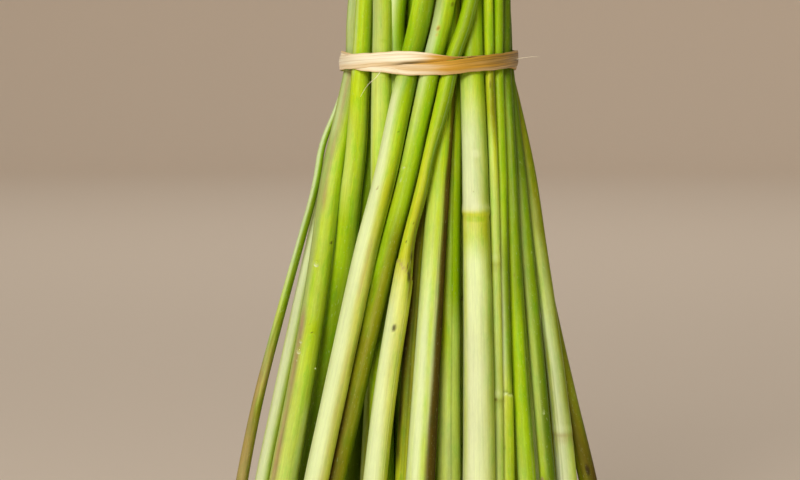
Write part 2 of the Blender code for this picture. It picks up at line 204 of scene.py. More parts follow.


# The front stalks, left to right, as the names of their CAD stems are numbered. Besides each stalk's own
# sheath colours, their shades and stripes hold painted light and shade: a flank is paler on the left,
# towards the key light, and greener and darker on the right, with fern and moss stripes there; some pale,
# cream and butter stripes are painted highlights down a stalk, and others painted light over a
# neighbour's shadow; stalks and stretches of them deep in the bunch are painted dark as shade; and mist
# stripes near the edges are the wax's bloom with a painted sheen.
FRONT_LOOKS = (
    stalk_look(
        ((280, "mist", "leaf", 0, 18), (214, "mist", "leaf", 2, 16), (203, "mist", "fern", -10, 14),
         (180, "mist", "fern", -20, 12), (158, "pale", "fern", -16, 12), (143, "sage", "olive", -25, 12),
         (130, "tan", "tan", 10, 15), (118, "tan", "olive", -18, 12), (98, "tan", "tan", 0, 15)),
        margin=30,
        streaks=((48, 14, 80, 175, "olive", 0.7), (4, 14, 112, 152, "butter", 0.5)),
        specks=((221, -55, 1.0, 1.6, "tan"), (205, -50, 0.6, 0.8)),
        bends=((222, 12, -2.0),),
    ),
    stalk_look(
        ((280, "lime", "leaf"), (170, "ivory", "lime", 30), (90, "ivory", "lime", 28)),
        margin=120,
        streaks=((-4, 18, 80, 190, "cream", 0.8), (-62, 10, 80, 160, "pale", 0.6)),
    ),
    stalk_look(
        ((280, "sage", "sage", 40, 25), (245, "sage", "lime", 20, 25), (218, "sage", "lime", -15, 18),
         (200, "sage", "lime", -24, 14), (150, "sage", "lime", -36, 12), (90, "pale", "pale", -40, 12)),
        margin=-150,
        streaks=((8, 22, 150, 232, "pale", 0.55), (-22, 13, 192, 262, "rose", 0.70),
         (-5, 9, 214, 276, "olive", 0.30), (-46, 16, 222, 300, "mist", 0.6), (12, 10, 256, 310, "rose", 0.45),
         (-48, 20, 80, 162, "rose", 1.0), (-40, 6, 84, 150, "umber", 0.35), (-12, 10, 80, 150, "pale", 0.45),
         (50, 14, 132, 204, "pale", 0.35), (48, 14, 80, 124, "cream", 0.7)),
        specks=((183.9, 48, 1.1, 1.1), (149, 12, 0.6, 0.6), (152, -4, 0.4, 0.5)),
    ),
    stalk_look(
        ((280, "lime", "leaf", 12, 22), (240, "lime", "lime", -10, 24), (224, "pale", "lime", -28, 20),
         (207, "pale", "lime", -12, 22), (192, "lime", "leaf", -20, 20), (176, "lime", "leaf", -25, 24),
         (160, "leaf", "fern", -25, 24), (146, "fern", "fern"), (130, "fern", "moss"), (112, "moss", "moss")),
        margin=85,
        streaks=((-54, 14, 246, 300, "mist", 0.7), (54, 18, 150, 290, "pale", 0.5),
         (22, 6, 150, 240, "pale", 0.25)),
        bends=((204, 16, -0.75),),
        girth=1.04,
    ),
    stalk_look(
        ((280, "sage", "lime", -5, 25), (238, "pale", "lime", 20, 25), (195, "lime", "leaf"),
         (150, "fern", "moss"), (100, "lime", "leaf")),
        margin=70,
        streaks=((-70, 12, 200, 284, "mist", 0.7), (20, 8, 228, 284, "pale", 0.4),
         (52, 18, 205, 284, "pale", 0.8)),
        specks=((249.4, 62, 1.4, 2.4, "umber", 0.8), (249.0, 30, 5.0, 1.2, "leaf", 0.35),
         (263.0, 10, 3.0, 1.6, "leaf", 0.30)),
    ),
    stalk_look(
        ((280, "lime", "fern", -16, 20), (266, "leaf", "fern", -4, 20), (252, "leaf", "fern", -4, 20),
         (240, "cream", "leaf", -24, 12), (222, "cream", "lime", -16, 13), (205, "cream", "lemon", -9, 14),
         (190, "cream", "lemon", 0, 16), (176, "cream", "butter", 2, 16), (150, "cream", "butter", 8, 18),
         (95, "cream", "butter", 18, 20)),
        margin=150,
        streaks=((22, 11, 150, 200, "butter", 0.5), (15, 12, 160, 192, "rose", 0.42),
         (24, 11, 80, 152, "rose", 0.35), (56, 22, 168, 272, "moss", 0.85), (62, 17, 130, 180, "olive", 0.75),
         (56, 16, 80, 134, "butter", 0.9)),
        specks=((228, 20, 0.5, 0.6), (206, -28, 0.5, 0.5, "tan")),
    ),
    stalk_look(
        ((280, "sage", "lime", -18, 18), (260, "mist", "leaf", -24, 18), (238, "pale", "leaf", -22, 18),
         (200, "lime", "leaf", -26, 26), (186, "leaf", "olive", -14, 30), (160, "leaf", "olive", -34, 22),
         (148, "olive", "olive", -10, 20), (132, "olive", "olive"), (115, "umber", "olive", -18, 18),
         (90, "umber", "olive", -8, 18)),
        margin=-100,
        streaks=((-25, 12, 222, 280, "mist", 0.35), (-52, 22, 84, 176, "umber", 0.65),
         (-5, 12, 124, 180, "tan", 0.20), (66, 24, 80, 272, "moss", 0.85), (4, 26, 76, 110, "umber", 0.5)),
        specks=((267.7, -15, 1.6, 2.2, "amber", 0.6), (267.6, -15, 0.8, 1.2, "umber", 0.6),
         (265.2, -13, 1.1, 1.3, "amber", 0.4), (276.9, 46, 1.8, 1.8, "umber", 0.6),
         (214, -41, 0.9, 0.9, "mist", 0.8), (209, -38, 0.7, 0.7, "mist", 0.7)),
    ),
    stalk_look(
        ((280, "leaf", "fern", -8, 24), (232, "lime", "fern", 2, 20), (212, "lemon", "fern", 10, 18),
         (196, "lemon", "olive", 12, 16), (180, "lemon", "olive", 12, 16), (173, "butter", "lemon", 10, 22),
         (158, "cream", "butter", -18, 22), (95, "cream", "butter", 30, 25)),
        margin=40,
        streaks=((-12, 14, 172, 182, "rose", 0.75), (52, 13, 160, 184, "umber", 0.9),
         (62, 16, 182, 272, "fern", 0.7), (62, 13, 84, 168, "lemon", 0.8)),
        collars=((175, 4.0, -75, 0.32, "rose", 0.1),),
        specks=((153.4, -6, 1.5, 2.6, "bark", 0.85), (176.6, 22, 0.8, 2.4, "umber"),
         (173.0, 36, 1.6, 5.0, "bark", 0.8), (180.5, 46, 1.0, 4.0, "bark", 0.7), (186, -20, 0.6, 0.8),
         (193, 8, 0.6, 0.9, "umber")),
        bends=((190, 16, -1.25, 0.31), (217, 16, -1.6, 0.31)),
    ),
    stalk_look(
        ((280, "olive", "olive"), (190, "umber", "olive"), (150, "umber", "olive", -10, 15),
         (125, "olive", "lemon", 30, 15), (90, "lemon", "lemon", 0, 20)),
        margin=5,
        streaks=((-58, 28, 96, 210, "bark", 1.0), (20, 8, 80, 170, "tan", 0.4),
         (-12, 7, 80, 150, "moss", 0.5)),
    ),
    stalk_look(
        ((280, "leaf", "olive", 35, 6), (215, "lime", "umber", 34, 5), (185, "pale", "umber", 33, 5),
         (150, "cream", "umber", 26, 5), (95, "cream", "umber", 16, 5)),
        margin=26,
        streaks=((4, 15, 80, 206, "lime", 0.85), (-48, 12, 80, 190, "pale", 0.4),
         (22, 5, 80, 190, "rose", 0.4), (62, 20, 80, 200, "bark", 0.45)),
    ),
    stalk_look(
        ((280, "leaf", "fern"), (225, "olive", "lime", -30, 15), (190, "umber", "leaf", -35, 12),
         (165, "lemon", "leaf", -30, 14), (148, "lime", "pale", 6, 10), (130, "pale", "pale", 0, 8),
         (95, "pale", "pale", 0, 20)),
        margin=8,
        streaks=((-15, 10, 150, 230, "pale", 0.35), (-2, 10, 116, 166, "leaf", 0.7),
         (0, 16, 80, 122, "sage", 0.6), (64, 16, 150, 200, "moss", 0.6), (72, 10, 80, 150, "umber", 0.5)),
    ),
    stalk_look(
        ((280, "fern", "leaf", 30, 20), (254, "leaf", "lime", 0, 20), (242, "pale", "lime", 20, 25),
         (225, "cream", "pale", 30, 25), (200, "ivory", "pale", 30, 25), (195, "butter", "lemon", 12, 25),
         (188, "pale", "lemon", 20, 22), (178, "cream", "pale", 34, 20), (140, "ivory", "pale", 44, 20),
         (90, "ivory", "pale", 46, 20)),
        margin=-70,
        streaks=((-58, 14, 80, 195, "lemon", 0.7), (6, 26, 198, 238, "sage", 0.45),
         (4, 28, 80, 188, "pale", 0.22), (64, 24, 120, 284, "fern", 0.8), (64, 19, 80, 130, "fern", 0.5)),
        joints=((197.5, 0.26, "lemon"),),
        specks=((194.6, -6, 6.5, 2.2, "leaf", 0.45), (242, -84, 0.8, 1.2),
         (219.5, 4, 3.0, 3.0, "ivory", 0.5)),
    ),
    stalk_look(
        ((280, "lime", "lime", 0, 24), (262, "lime", "leaf", -4, 22), (248, "lemon", "olive", 4, 20),
         (236, "lemon", "olive", -14, 20), (222, "pale", "lemon", -5, 20), (200, "pale", "pale", 0, 22),
         (160, "sage", "pale", 12, 24), (90, "sage", "pale", 24, 24)),
        margin=50,
        streaks=((-8, 14, 80, 232, "pale", 0.55), (-50, 16, 112, 200, "lemon", 0.7),
         (18, 9, 228, 253, "olive", 0.7), (64, 16, 196, 250, "olive", 0.5)),
        joints=((178.0, 0.06, "olive", 0.35), (126.5, 0.10, "olive", 0.6)),
        specks=((246, -2, 1.6, 3.0, "umber", 0.6), (183.0, 60, 1.0, 3.0, "umber"),
         (125.8, -30, 2.4, 1.2, "umber", 0.6)),
    ),
    stalk_look(
        ((280, "leaf", "fern"), (200, "lime", "leaf"), (180, "pale", "fern", -4, 20),
         (160, "cream", "fern", -2, 20), (140, "cream", "leaf", 6, 25), (126, "butter", "lime", 10, 25),
         (90, "pale", "lime", -10, 30)),
        margin=-55,
        streaks=((-5, 6, 80, 126, "pale", 0.5), (-32, 5, 80, 124, "olive", 0.5),
         (28, 6, 80, 126, "pale", 0.4), (58, 20, 126, 210, "moss", 0.9)),
        collars=((127, 0.8, -40, 0.4, "cream"),),
        specks=((126.4, -50, 1.6, 1.0), (107, -8, 0.5, 2.4, "umber", 0.6)),
    ),
    stalk_look(
        ((280, "moss", "moss", -10, 24), (250, "fern", "moss", -10, 24), (238, "lime", "fern", -14, 24),
         (205, "lime", "fern", -20, 24), (170, "lime", "fern", -22, 26), (150, "lime", "leaf", -16, 25),
         (120, "lime", "leaf", -20, 25), (90, "pale", "leaf", -6, 25)),
        margin=60,
        streaks=((12, 6, 190, 245, "mist", 0.30), (48, 8, 80, 150, "mist", 0.30),
         (58, 22, 100, 252, "moss", 0.9)),
        specks=((172, -10, 0.6, 1.4, "olive"),),
    ),
    stalk_look(
        ((280, "moss", "moss", -14, 24), (214, "fern", "moss", -16, 24), (194, "pale", "fern", -22, 20),
         (160, "pale", "fern", -20, 20), (120, "pale", "moss", -10, 22), (90, "lime", "moss", -14, 20)),
        margin=-60,
        streaks=((-30, 9, 150, 210, "mist", 0.25), (-8, 5, 90, 150, "pale", 0.3),
         (60, 22, 80, 214, "moss", 0.85)),
        specks=((118, 15, 0.7, 0.7, "mist"), (92, -40, 2.0, 3.0, "rose")),
    ),
    stalk_look(
        ((280, "moss", "olive"), (205, "pale", "olive", -30, 20), (188, "pale", "olive", -12, 20),
         (165, "pale", "sage", -10, 20), (145, "cream", "sage", -4, 20), (110, "ivory", "sage", 10, 20),
         (95, "ivory", "pale", 20, 22)),
        margin=-42,
        streaks=((-48, 18, 96, 152, "lemon", 0.85), (52, 20, 114, 205, "olive", 1.0),
         (8, 22, 80, 205, "sage", 0.35), (-22, 4, 84, 140, "olive", 0.4)),
        joints=((109.5, 0.09, "tan", 0.55),),
    ),
    stalk_look(
        ((280, "moss", "olive"), (150, "sage", "olive"), (122, "umber", "olive", -14, 20),
         (90, "olive", "umber", 0, 25)),
        margin=-30,
        streaks=((2, 26, 80, 124, "umber", 0.35), (-22, 12, 80, 150, "umber", 0.6)),
        specks=((92.7, 10, 1.8, 4.4),),
    ),
)

# Inner and back stalks take the shades of their material slot, with chance variations
SLOT_SHADES = {
    "green": ((280, "leaf", "leaf"), (170, "leaf", "lime"), (90, "lime", "lime")),
    "pale": ((280, "leaf", "lime"), (170, "lime", "pale"), (90, "pale", "pale")),
    "cream": ((280, "lime", "leaf"), (170, "pale", "lime"), (90, "cream", "pale")),
    "olive": ((280, "moss", "leaf"), (170, "olive", "moss"), (90, "lemon", "olive")),
}
# Inner stalks that show between the front ones, mostly painted dark as shade, deep in the bunch
SHADE_PAINTED_STALKS = {
    "stalk_19": (
        (280, "cream", "leaf", 0, 14), (242, "pale", "leaf", 0, 14), (215, "fern", "moss", 10, 30),
        (180, "moss", "moss"),
    ),
    "stalk_20": ((280, "fern", "moss"), (150, "moss", "olive"), (90, "olive", "moss")),
    "stalk_24": ((280, "fern", "moss"), (150, "moss", "moss"), (90, "bark", "moss", -20, 20)),
}
# One of them shows beside its front neighbour at the tie
INNER_BENDS = {"stalk_19": ((262, 45, -5.5),)}
CROWN_SHADES = (Shade(360, "leaf", "moss"), Shade(409, "lime", "leaf"), Shade(425, "pale", "lime"))
FOOT_SHADES = (
    Shade(0, "tan", "umber", 30, 50), Shade(4, "rose", "tan", 30, 50),
    Shade(12, "ivory", "rose", 70, 40), Shade(32, "ivory", "cream", 30, 40),
)

# The cut ends, from the rim inwards: share of the radius, how high it lies and its colour
TOP_CUT = (
    (0.985, 0.10, "pale"), (0.90, 0.12, "cream"), (0.875, -1.3, "moss"), (0.82, -1.4, "moss"),
    (0.795, 0.0, "pale"), (0.70, 0.05, "cream"), (0.675, -1.1, "moss"), (0.63, -1.2, "moss"),
    (0.605, 0.1, "lime"), (0.50, 0.1, "cream"), (0.475, -0.9, "leaf"), (0.43, -0.9, "leaf"),
    (0.405, 0.1, "lime"), (0.28, 0.1, "pale"), (0.25, -0.6, "leaf"), (0.20, -0.6, "leaf"),
    (0.17, 0.1, "lime"),
)
FOOT_CUT = (
    (0.97, 0.0, "tan"), (0.86, 0.0, "ivory"), (0.84, 0.25, "tan"), (0.81, 0.0, "cream"), (0.62, 0.0, "ivory"),
    (0.60, 0.2, "tan"), (0.57, 0.0, "cream"), (0.34, 0.0, "rose"), (0.10, 0.0, "tan"),
)


# ------------------------------ Shapes


def wrapped(degrees):
    """Angles brought between -180 and 180."""
    return (degrees + 180.0) % 360.0 - 180.0


def step_up(values):
    """0 below 0, 1 above 1 and a smooth rise between."""
    clipped = np.clip(values, 0.0, 1.0)
    return clipped * clipped * (3.0 - 2.0 * clipped)


def bell(values):
    return np.exp(-(values**2))


def ripple(chance, height, angle, length, turns):
    """A slow irregular wave over a stem, between about -1 and 1, made of four waves."""
    total = 0.0
    for wave in range(4):
        pitch = length / (1.0 + wave * chance.uniform(0.6, 1.1))
        around = chance.randint(0, turns)
        phase = chance.uniform(0.0, math.tau)
        swing = np.sin(height * math.tau / pitch + np.radians(angle) * around + phase)
        total = total + swing / (1.4 + wave)
    return total / 1.6


def points(x, y, z):
    """Corners from their three parts, each one spread to the shape of the others."""
    return np.stack(np.broadcast_arrays(x, y, z), axis=-1)


def read_corners(node):
    mesh = frame["nodes"][node].data
    corners = np.empty(len(mesh.vertices) * 3)
    mesh.vertices.foreach_get("co", corners)
    return corners.reshape(-1, 3) / MM


def read_stem(node):
    """Height, middle and radius of a CAD stem at each of its bends in millimetres, from its foot up."""
    mesh = frame["nodes"][node].data
    corners = read_corners(node)
    ends = np.empty(len(mesh.edges) * 2, int)
    mesh.edges.foreach_get("vertices", ends)
    low, high = corners[ends.reshape(-1, 2)].transpose(1, 0, 2)
    crown = corners[:, 2].max() - CUT_ROOM
    heights = [FIRST_CUT, *STEM_BENDS, crown - LAST_CUT]
    middles, radii = [], []
    for height in heights:
        cut = (low[:, 2] - height) * (high[:, 2] - height) < 0.0
        share = (height - low[cut, 2]) / (high[cut, 2] - low[cut, 2])
        rim = low[cut, :2] + (high[cut, :2] - low[cut, :2]) * share[:, None]
        rim = rim[np.argsort(np.arctan2(*(rim - rim.mean(0)).T))]
        after = np.roll(rim, -1, axis=0)
        slivers = rim[:, 0] * after[:, 1] - after[:, 0] * rim[:, 1]
        middles.append(((rim + after) * slivers[:, None]).sum(0) / (3.0 * slivers.sum()))
        radii.append(math.sqrt(abs(slivers.sum()) / 2.0 / OCTAGON))
    heights[0] = 0.0
    heights.append(crown)
    onward = (middles[-1] - middles[-2]) * LAST_CUT / (crown - LAST_CUT - STEM_BENDS[-1])
    middles.append(middles[-1] + onward)
    radii.append(radii[-1])
    return np.array(heights), np.array(middles), np.array(radii)


def flowing(at, spots, values):
    """Values between the spots on a smooth line through all of them."""
    spots = np.asarray(spots, float)
    values = np.asarray(values, float)
    slope = np.gradient(values, spots, axis=0)
    low = np.clip(np.searchsorted(spots, at, side="right") - 1, 0, len(spots) - 2)
    span = (spots[low + 1] - spots[low])[:, None]
    share = np.clip((at - spots[low])[:, None] / span, 0.0, 1.0)
    grid = values.reshape(len(spots), -1)
    lean = slope.reshape(len(spots), -1)
    square, cube = share**2, share**3
    line = (
        (2 * cube - 3 * square + 1) * grid[low]
        + (cube - 2 * square + share) * span * lean[low]
        + (3 * square - 2 * cube) * grid[low + 1]
        + (cube - square) * span * lean[low + 1]
    )
    return line.reshape(len(at), *values.shape[1:])


def add_mesh(name, corners, faces, tint=None, grain=None, sharp=math.radians(38.0)):
    """A mesh object from its corners in millimetres, with its paint and its grain as attributes."""
    mesh = bpy.data.meshes.new(name)
    mesh.from_pydata((np.asarray(corners) * MM).tolist(), [], faces)
    mesh.validate()
    if tint is not None:
        paint = mesh.attributes.new("tint", "FLOAT_COLOR", "POINT")
        paint.data.foreach_set("color", np.asarray(tint, np.float32).ravel())
    if grain is not None:
        along = mesh.attributes.new("grain", "FLOAT_VECTOR", "POINT")
        along.data.foreach_set("vector", (np.asarray(grain) * MM).astype(np.float32).ravel())
    mesh.shade_smooth()
    mesh.set_sharp_from_angle(angle=sharp)
    mesh.update()
    piece = bpy.data.objects.new(name, mesh)
    bpy.context.scene.collection.objects.link(piece)
    return piece


def grid_faces(rows, columns, closed_rows=False):
    """Quads of a grid whose columns go all the way round; its rows may go all the way round as well."""
    index = np.arange(rows * columns).reshape(rows, columns)
    if closed_rows:
        index = np.vstack([index, index[:1]])
    right = np.roll(index, -1, axis=1)
    quads = np.stack([index[:-1], right[:-1], right[1:], index[1:]], axis=-1)
    return quads.reshape(-1, 4).tolist()


def capped_grid(rows):
    """Corners and faces of a closed body from its rows of corners, with a point closing each end."""
    count, columns = rows.shape[:2]
    corners = np.concatenate([rows.reshape(-1, 3), rows[0].mean(0)[None], rows[-1].mean(0)[None]])
    faces = grid_faces(count, columns)
    first, last = count * columns, count * columns + 1
    for column in range(columns):
        after = (column + 1) % columns
        faces.append([first, after, column])
        faces.append([last, (count - 1) * columns + column, (count - 1) * columns + after])
    return corners, faces


def add_body(corners, faces, rows):
    """Add one more closed body to the corners and faces of a mesh in the making."""
    body, sides = capped_grid(rows)
    offset = sum(len(part) for part in corners)
    corners.append(body)
    faces += [[spot + offset for spot in face] for face in sides]


def with_ends(grid):
    """A capped grid's values as a list, the first and last of them again for the points at its ends."""
    values = grid.reshape(-1, grid.shape[-1])
    return np.concatenate([values, values[:1], values[-1:]])


def stem_heights(crown, look, close):
    """Heights of a stem's rows: close together where it is seen and closest at its fine features."""
    coarse, fine = (3.4, 1.6) if close else (6.0, 4.0)
    spans = [(0.0, CLOSE_LOW, coarse), (CLOSE_LOW, CLOSE_HIGH, fine), (CLOSE_HIGH, crown, coarse)]
    for collar in look.collars:
        reach = abs(collar.tilt) + 1.6
        spans.append((collar.height - reach, collar.height + reach, 0.35))
    spans += [(joint.height - 5.0, joint.height + 4.0, 0.45) for joint in look.joints]
    spans += [(speck.height - speck.length, speck.height + speck.length, 0.5) for speck in look.specks]
    rows = [np.arange(*span) for span in spans]
    heights = np.unique(np.round(np.concatenate([*rows, [crown]]), 2))
    heights = heights[(heights >= 0.0) & (heights <= crown)]
    keep = np.concatenate([[True], np.diff(heights) > CLOSEST_ROWS])
    keep[-1] = True
    return heights[keep]


def stem_angles(margin, columns):
    """Angles of a stem's columns: evenly round it, with the margin's step between the first two."""
    return wrapped(margin + np.linspace(MARGIN_GAP, 360.0 - MARGIN_GAP, columns))


def shade_rows(look):
    """A stem's shades from its foot to its crown, in order of height."""
    lowest = min(look.shades, key=lambda shade: shade.height)
    rows = [*FOOT_SHADES, *look.shades, *CROWN_SHADES, lowest._replace(height=FOOT_TOP)]
    return sorted(rows, key=lambda shade: shade.height)


def mixed(first, second, share):
    return first + (second - first) * share[..., None]


def paint_stem(look, height, angle, colours, chance):
    """Colour and dryness of a stem over its grid of heights and angles."""
    rows = shade_rows(look)
    spots = [shade.height for shade in rows]
    column = height[:, 0]

    def flank(side):
        values = np.array([colours[getattr(shade, side)] for shade in rows])
        return np.stack([np.interp(column, spots, values[:, part]) for part in range(4)], axis=-1)[:, None]

    split = np.interp(column, spots, [shade.split for shade in rows])[:, None]
    soft = np.interp(column, spots, [shade.soft for shade in rows])[:, None]
    split = split + 5.0 * ripple(chance, height, 0.0, 90.0, 0)
    right = 0.5 + 0.5 * np.tanh(wrapped(angle - split) / soft)
    behind = step_up((np.abs(angle) - 120.0) / 60.0)
    paint = mixed(flank("left"), flank("right"), right * (1.0 - behind) + 0.5 * behind)

    for streak in look.streaks:
        ends = step_up((height - streak.low) / STREAK_FADE) * step_up((streak.high - height) / STREAK_FADE)
        patchy = 0.8 + 0.25 * ripple(chance, height, angle, 46.0, 1)
        across = bell(wrapped(angle - streak.angle) / streak.width)
        paint = mixed(paint, colours[streak.colour], np.clip(streak.strength * ends * patchy * across, 0, 1))
    for joint in look.joints:
        above = height - joint.height
        groove = bell((above + 1.1) / 0.9) + 0.6 * bell((above + 3.0) / 1.6)
        paint = mixed(paint, colours["ivory"], 0.5 * joint.strength * bell((above - 1.6) / 1.3))
        paint = mixed(paint, colours[joint.colour], np.clip(0.75 * joint.strength * groove, 0.0, 1.0))
    for collar in look.collars:
        above = height - collar_rim(collar, angle)
        paint = mixed(paint, colours[collar.rim], 0.75 * bell((-above - 0.35) / 0.45))
        # Painted shade: a thin line of moss just above the sheath's free end
        paint = mixed(paint, colours["moss"], collar.shade * (step_up(above / 0.2) * bell(above / 1.1)))
    for speck in look.specks:
        across = np.radians(wrapped(angle - speck.angle)) * USUAL_RADIUS / (speck.width / 2.0)
        along = (height - speck.height) / (speck.length / 2.0)
        paint = mixed(paint, colours[speck.colour], speck.strength * step_up(1.5 - np.hypot(across, along)))
    # A slow random change of tone, and painted shade over the right flank and the back, away from the key
    # light
    light = 1.0 + 0.05 * ripple(chance, height, angle, 70.0, 3)
    deep = np.interp(angle, *PAINTED_SIDE_SHADE)
    for part, loss in enumerate(PAINTED_SHADE_LOSS):
        paint[..., part] *= light * (1.0 - loss * deep)
    return np.clip(paint, 0.0, 1.0)


def collar_rim(collar, angle):
    """Height of a sheath's free end round the stem."""
    lean = collar.tilt * np.cos(np.radians(wrapped(angle - collar.towards)))
    torn = 0.25 * np.sin(np.radians(angle * 7.0))
    return collar.height + lean + torn + 0.15 * np.sin(np.radians(angle * 13.0))


def stem_girth(look, height, angle, radius, step, chance):
    """Radius of a stem over its grid, with its margin, collars, joints and slight unevenness."""
    since = ((angle - look.margin) % 360.0) / 360.0
    worn = step * step_up((height - 12.0) / 40.0) * np.clip(radius / USUAL_RADIUS, 0.45, 1.0)
    girth = radius * (1.0 + 0.012 * ripple(chance, height, angle, 120.0, 2)) + worn * (0.5 - since)
    for collar in look.collars:
        below = collar_rim(collar, angle) - height
        girth = girth + collar.step * step_up(below / 0.3) * np.exp(-np.clip(below, 0.0, None) / 60.0)
    for joint in look.joints:
        girth = girth + joint.swell * bell((height - joint.height) / 1.7)
        girth = girth - 0.55 * joint.swell * bell((height - joint.height + 2.4) / 0.8)
    return girth


def base_collars(chance):
    """Short sheath ends near the foot, as the outer leaves leave them when they are pulled off."""
    spots = (chance.uniform(5.0, 10.0), chance.uniform(12.0, 22.0), chance.uniform(26.0, 66.0))
    leans = [(chance.uniform(0.8, 3.0), chance.uniform(-180, 180)) for _ in spots]
    return tuple(Collar(height, *lean, 0.2, "rose", 0.15) for height, lean in zip(spots, leans))


def inner_look(node, chance):
    """The look of an inner or back stalk: the shades of its slot, and the rest by chance."""
    upper = (chance.uniform(292, 380), chance.uniform(1, 5), chance.uniform(-180, 180), 0.3)
    return stalk_look(
        SHADE_PAINTED_STALKS.get(node, SLOT_SHADES[SLOTS[node]]),
        chance.uniform(-180, 180),
        streaks=(
            (chance.uniform(60, 300), 14, 60, 400, "mist", 0.4),
            (chance.uniform(60, 300), 10, 60, chance.uniform(150, 350), "rose", 0.4),
            (chance.uniform(60, 300), 18, 60, 400, "sage", 0.4),
        ),
        collars=(upper, (chance.uniform(100, 200), 2.0, chance.uniform(-180, 180), 0.3)),
        bends=INNER_BENDS.get(node, ()),
    )


def build_stem(index, node, colours):
    """One stalk, from its cut foot to its cut top."""
    chance = random.Random(STALK_SEED + index)
    close = index < len(FRONT_LOOKS)
    look = FRONT_LOOKS[index] if close else inner_look(node, chance)
    look = look._replace(collars=look.collars + base_collars(chance))
    ring_height, ring_middle, ring_radius = read_stem(node)
    crown = float(ring_height[-1])
    rows = stem_heights(crown, look, close)
    middle = flowing(rows, ring_height, ring_middle)
    radius = flowing(rows, ring_height, ring_radius)[:, None] * look.girth
    for bend in look.bends:
        near = bell((rows - bend.height) / bend.length)
        middle[:, 0] += bend.sideways * near
        radius *= 1.0 - bend.slim * near[:, None]
    kind = 0 if close else 1
    twist = chance.uniform(-STEM_TWISTS[kind], STEM_TWISTS[kind])
    columns = stem_angles(look.margin, STEM_COLUMNS[kind])
    height = np.repeat(rows[:, None], len(columns), axis=1)
    angle = wrapped(columns + twist * (height - TWIST_START))
    untwisted = wrapped(columns)[None]
    step = bpy.context.scene.bunch_sizes.margin_step / MM
    girth = stem_girth(look, height, untwisted, radius, step, chance)
    paint = paint_stem(look, height, angle, colours, chance)
    # Darker along the outer sheath's margin: partly its own browned edge, partly painted shadow under the
    # step
    edge = np.minimum((untwisted - look.margin) % 360.0, (look.margin - untwisted) % 360.0)
    paint[..., :3] *= (1.0 - 0.28 * bell(edge / 5.0))[..., None]
    around = np.radians(angle)

    def cut_ring(share, rise, row):
        reach = girth[row] * share
        slant = CUT_SLANT * reach * np.sin(around[row] + index) if row else 0.0
        return points(
            middle[row, 0] + reach * np.sin(around[row]),
            middle[row, 1] - reach * np.cos(around[row]),
            rows[row] + rise + slant,
        )

    def cut_paint(cut):
        return [np.tile(colours[name], (len(columns), 1)) for _, _, name in cut]

    slant = CUT_SLANT * girth * np.sin(around + index) * step_up((height - crown + 9.0) / 9.0)
    across, deep = middle[:, :1] + girth * np.sin(around), middle[:, 1:] - girth * np.cos(around)
    wall = points(across, deep, height + slant)
    foot = [cut_ring(share, rise, 0) for share, rise, _ in FOOT_CUT[::-1]]
    top = [cut_ring(share, rise, -1) for share, rise, _ in TOP_CUT]
    corners, faces = capped_grid(np.concatenate([foot, wall, top]))
    tint = with_ends(np.concatenate([cut_paint(FOOT_CUT[::-1]), paint, cut_paint(TOP_CUT)]))
    thick = float(ring_radius.mean())
    cuts = ((len(foot), len(top)), (0, 0))
    around, height = np.pad(around, cuts, "edge"), np.pad(height, cuts, "edge")
    grain = with_ends(points(thick * np.sin(around) + GRAIN_SHIFT * index, thick * np.cos(around), height))
    stem = add_mesh(node.replace("stalk", "stem"), corners, faces, tint, grain)
    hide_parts(node)
    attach(stem, "root")
    return stem


# ------------------------------ Finishes


class Value:
    """A node's output. Arithmetic on it adds Math nodes."""

    def __init__(self, finish, socket):
        self.finish = finish
        self.socket = socket

    def maths(self, operation, first, second):
        return self.finish.add("ShaderNodeMath", {"operation": operation}, {0: first, 1: second})

    def __add__(self, other):
        return self.maths("ADD", self, other)

    def __sub__(self, other):
        return self.maths("SUBTRACT", self, other)

    def __rsub__(self, other):
        return self.maths("SUBTRACT", other, self)

    def __mul__(self, other):
        return self.maths("MULTIPLY", self, other)

    def __pow__(self, other):
        return self.maths("POWER", self, other)

    __radd__ = __add__
    __rmul__ = __mul__


class Nodes:
    """The shader nodes of a material or a world."""

    def __init__(self, tree):
        self.tree = tree

    def feed(self, socket, value):
        if isinstance(value, Value):
            self.tree.links.new(value.socket, socket)
        else:
            socket.default_value = value

    def add(self, kind, settings=None, sockets=None, output=0):
        """A node of one type, its settings made first and then its sockets filled."""
        node = self.tree.nodes.new(kind)
        for name, value in (settings or {}).items():
            if name == "stops":
                for stop, (position, shade) in zip(node.color_ramp.elements, value):
                    stop.position = position
                    stop.color = (shade, shade, shade, 1.0)
            else:
                setattr(node, name, value)
        for name, value in (sockets or {}).items():
            self.feed(node.inputs[name], value)
        return Value(self, node.outputs[output])


